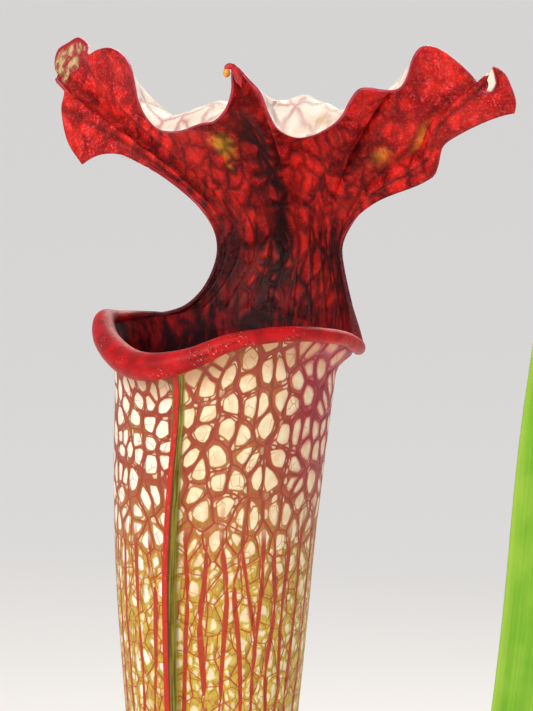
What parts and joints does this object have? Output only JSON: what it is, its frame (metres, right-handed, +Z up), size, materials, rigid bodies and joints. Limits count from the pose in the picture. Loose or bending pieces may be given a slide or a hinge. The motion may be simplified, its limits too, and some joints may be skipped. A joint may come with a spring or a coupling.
{
  "type": "potted pitcher plant",
  "caption": "Potted trumpet pitcher plant with a tall cream tube, a rolled red lip, a waved red hood, smaller pitchers, flat sword leaves and a plain round pot.",
  "frame": {"origin": "centre of the pot's flat underside", "axes": "+Z up along the pot's axis; the tallest pitcher's mouth looks towards -Y, turned 30 degrees to the left of someone who stands there"},
  "size_m": [0.1468, 0.1368, 0.506],
  "materials": {
    "pot_plastic": "matte, terracotta colour",
    "peat": "rough, moist, with live moss and perlite",
    "rhizome": "rough, with old leaf scars",
    "tube_leaf": "satin, cream with a red net of veins and green below",
    "hood_leaf": "satin, dark red inside with a dark net of veins, pale with pink veins outside",
    "flat_leaf": "satin green"
  },
  "bodies": {
    "root": {"pot": "pot_plastic", "soil": "peat", "rhizome": "rhizome", "pitcher_tall_tube": "tube_leaf", "pitcher_tall_hood": "hood_leaf", "pitcher_middle_tube": "tube_leaf", "pitcher_middle_hood": "hood_leaf", "pitcher_low_tube": "tube_leaf", "pitcher_low_hood": "hood_leaf", "pitcher_unopened": "tube_leaf", "flat_leaf_tall": "flat_leaf", "flat_leaf_short": "flat_leaf", "flat_leaf_low": "flat_leaf"}
  },
  "joints": []
}
